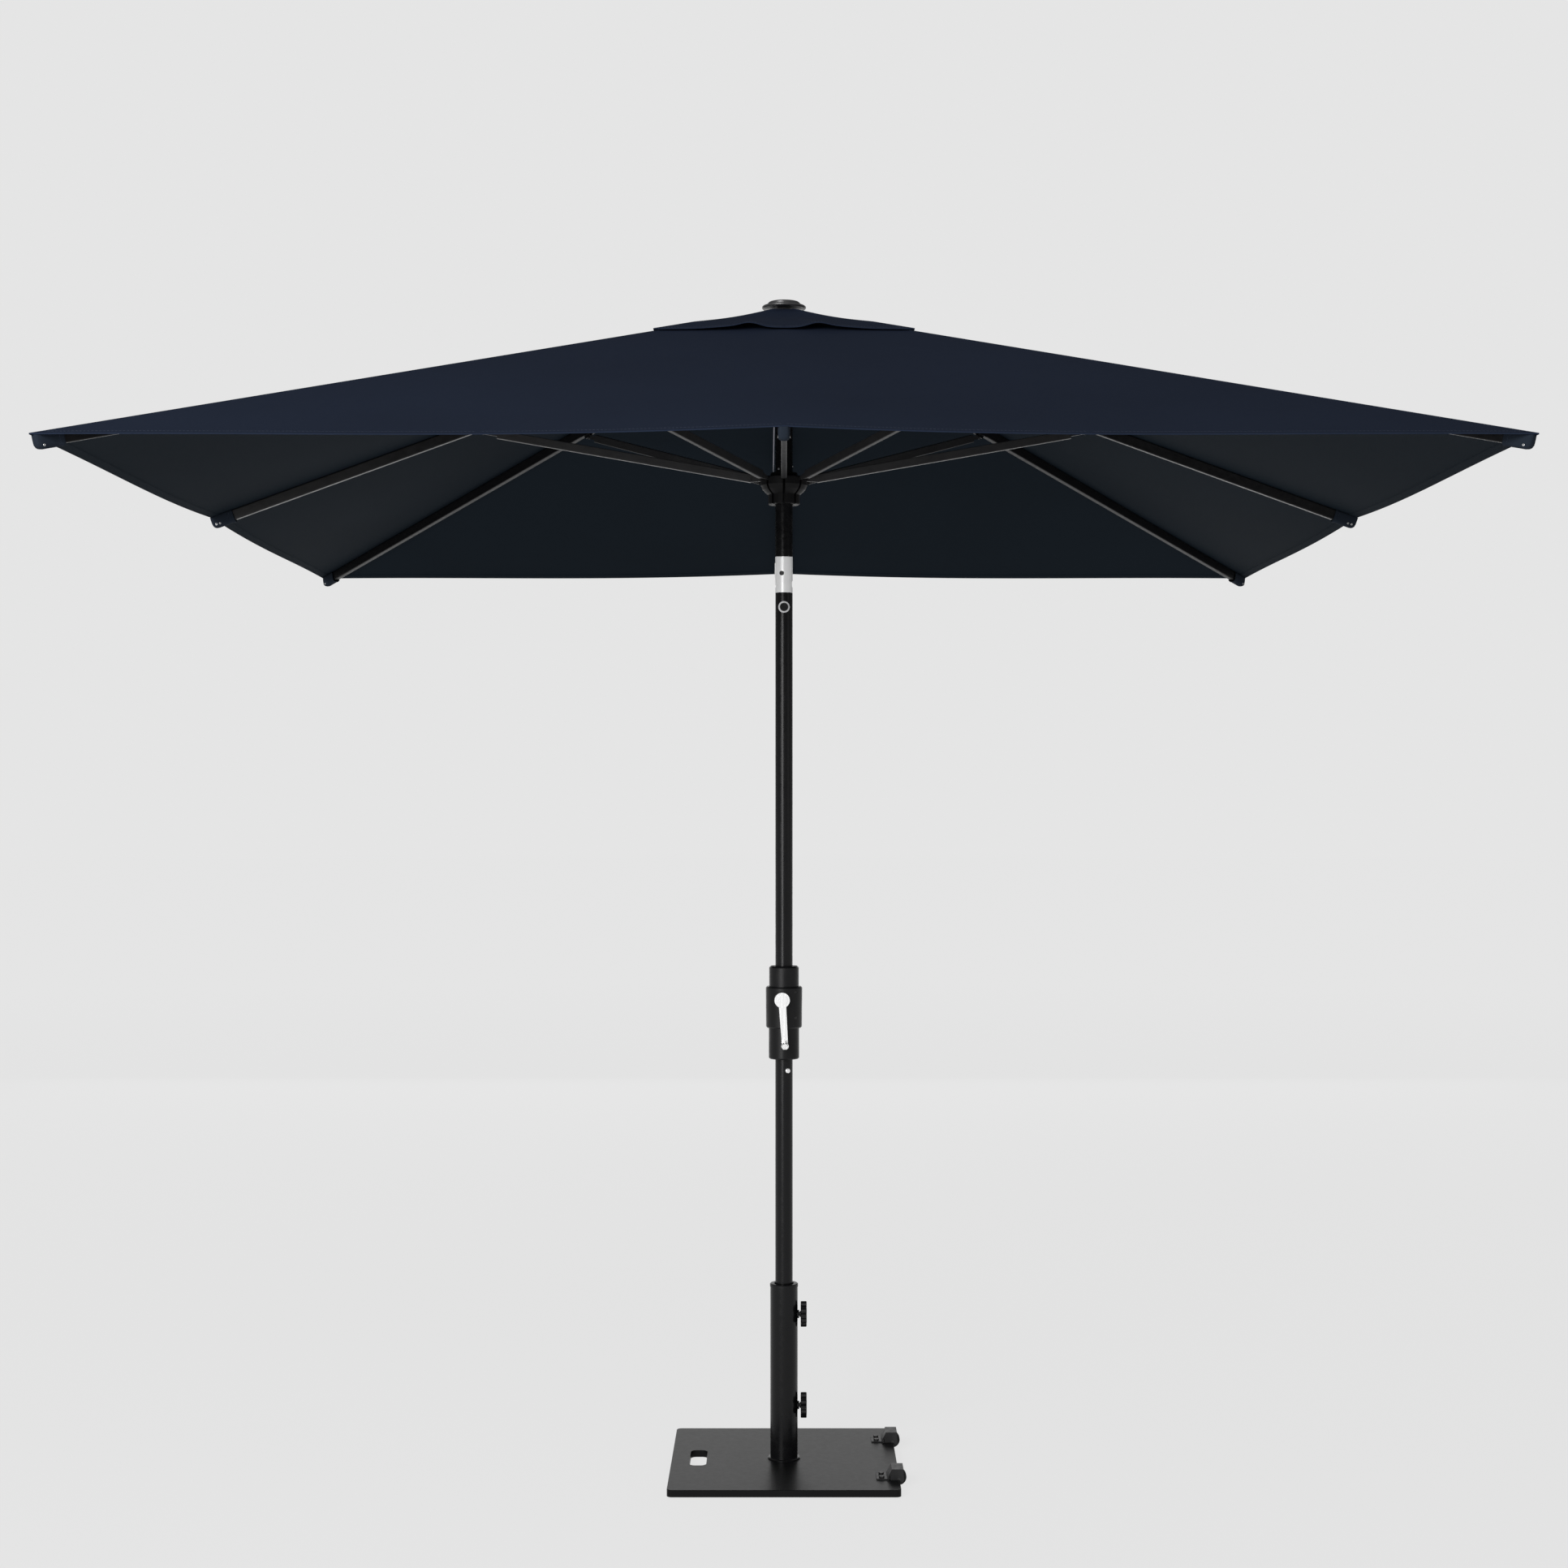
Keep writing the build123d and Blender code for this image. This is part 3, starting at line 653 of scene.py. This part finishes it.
# ------------------------------------------------------------------ lift cord
cord_low, cord_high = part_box("lift_cord")
CORD_AZ = math.radians(201.8)  # the side of the mast that the cord runs down
cord_x, cord_y = math.cos(CORD_AZ), math.sin(CORD_AZ)
foot = Vector((0.0249 * cord_x, 0.0249 * cord_y, cord_low.z + 0.0002))
head = Vector((0.0203 * cord_x, 0.0203 * cord_y, cord_high.z - 0.0002))
along = (foot - head).normalized()
across = along.cross(Vector((0, 1, 0))).normalized()
third = along.cross(across)
LENGTH = (foot - head).length
rings, sides = 240, 12
verts, faces, path = [], [], []
for r in range(rings + 1):
    d = LENGTH * r / rings
    c = head + along * d
    path.append(tuple(c))
    for k in range(sides):
        a = 2 * math.pi * k / sides
        braid = 0.00007 * math.cos(4 * a + d / 0.0016) * math.cos(4 * a - d / 0.0016)
        verts.append(c + (across * math.cos(a) + third * math.sin(a)) * (0.00122 + braid))
for r in range(rings):
    for k in range(sides):
        a, b = r * sides + k, r * sides + (k + 1) % sides
        faces.append((a, b, b + sides, a + sides))
faces.append(tuple(range(sides))[::-1])
faces.append(tuple(rings * sides + k for k in range(sides)))
cord = make_object("lift_rope", verts, faces, [fabric("cord_braid", (0.50, 0.50, 0.56), 0.0008)])
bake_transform(cord)
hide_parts("lift_cord")

# ------------------------------------------------------------------ stage, light and camera
def floor_mat():
    """A pale floor that glows a little more with distance, so that it meets the backdrop's tone."""
    mat = bpy.data.materials.new("studio_floor")
    mat.use_nodes = True
    t = mat.node_tree
    out = t.nodes["Material Output"]
    glow = t.nodes.new("ShaderNodeEmission")
    glow.inputs["Color"].default_value = (1, 1, 1, 1)
    place = t.nodes.new("ShaderNodeTexCoord")
    distance = t.nodes.new("ShaderNodeVectorMath")
    distance.operation = "LENGTH"
    t.links.new(place.outputs["Object"], distance.inputs[0])
    fade = t.nodes.new("ShaderNodeMapRange")
    for key, value in (("From Min", 2.0), ("From Max", 14.0), ("To Min", 0.728), ("To Max", 0.762)):
        fade.inputs[key].default_value = value
    t.links.new(distance.outputs["Value"], fade.inputs["Value"])
    t.links.new(fade.outputs["Result"], glow.inputs["Strength"])
    dull = t.nodes.new("ShaderNodeBsdfDiffuse")
    dull.inputs["Color"].default_value = (0.07, 0.07, 0.07, 1)
    add = t.nodes.new("ShaderNodeAddShader")
    t.links.new(glow.outputs[0], add.inputs[0])
    t.links.new(dull.outputs[0], add.inputs[1])
    t.links.new(add.outputs[0], out.inputs["Surface"])
    return mat


FLOOR_R, FLOOR_SIDES = 60, 64
turns = [2 * math.pi * k / FLOOR_SIDES for k in range(FLOOR_SIDES)]
ring = [(FLOOR_R * math.cos(a), FLOOR_R * math.sin(a), -0.0005) for a in turns]
floor = make_object("studio_ground", ring, [tuple(range(FLOOR_SIDES))], [floor_mat()], smooth=False)

# the camera sees the plain backdrop's tone, everything else is lit by a dimmer white
world = bpy.data.worlds.new("studio")
bpy.context.scene.world = world
world.use_nodes = True
wt = world.node_tree
back = wt.nodes["Background"]
back.inputs["Color"].default_value = (1, 1, 1, 1)
back.inputs["Strength"].default_value = 0.28
seen = wt.nodes.new("ShaderNodeBackground")
seen.inputs["Color"].default_value = (0.784, 0.784, 0.784, 1)
path_info = wt.nodes.new("ShaderNodeLightPath")
mix = wt.nodes.new("ShaderNodeMixShader")
wt.links.new(path_info.outputs["Is Camera Ray"], mix.inputs[0])
wt.links.new(back.outputs[0], mix.inputs[1])
wt.links.new(seen.outputs[0], mix.inputs[2])
wt.links.new(mix.outputs[0], wt.nodes["World Output"].inputs["Surface"])


def soft_box(name, place, target, size, power):
    light = bpy.data.lights.new(name, "AREA")
    light.shape = "RECTANGLE"
    light.size, light.size_y = size
    light.energy = power
    o = bpy.data.objects.new(name, light)
    bpy.context.scene.collection.objects.link(o)
    o.location = place
    o.rotation_euler = (Vector(target) - Vector(place)).to_track_quat("-Z", "Y").to_euler()
    o.visible_camera = False


soft_box("key", (-3.0, -6.0, 3.7), (0, 0, 1.6), (3.4, 2.2), 420)
soft_box("strip", (-2.6, -6.5, 1.3), (0, 0, 1.3), (2.4, 2.4), 125)
soft_box("fill", (5.5, -3.5, 2.4), (0, 0, 1.4), (2.0, 2.0), 8)
soft_box("backdrop", (0, 7.0, 2.2), (0, 0, 1.0), (8.0, 4.0), 86)

scene = bpy.context.scene
scene.view_settings.view_transform = "Standard"
cam = bpy.data.cameras.new("view")
cam.sensor_width = 36
cam.lens = 54.26
cam.shift_y = 0.0129
cam.clip_end = 200
camera = bpy.data.objects.new("view", cam)
scene.collection.objects.link(camera)
camera.location = (0, -5.17, 1.448)
camera.rotation_euler = (math.radians(90), 0, 0)
scene.camera = camera
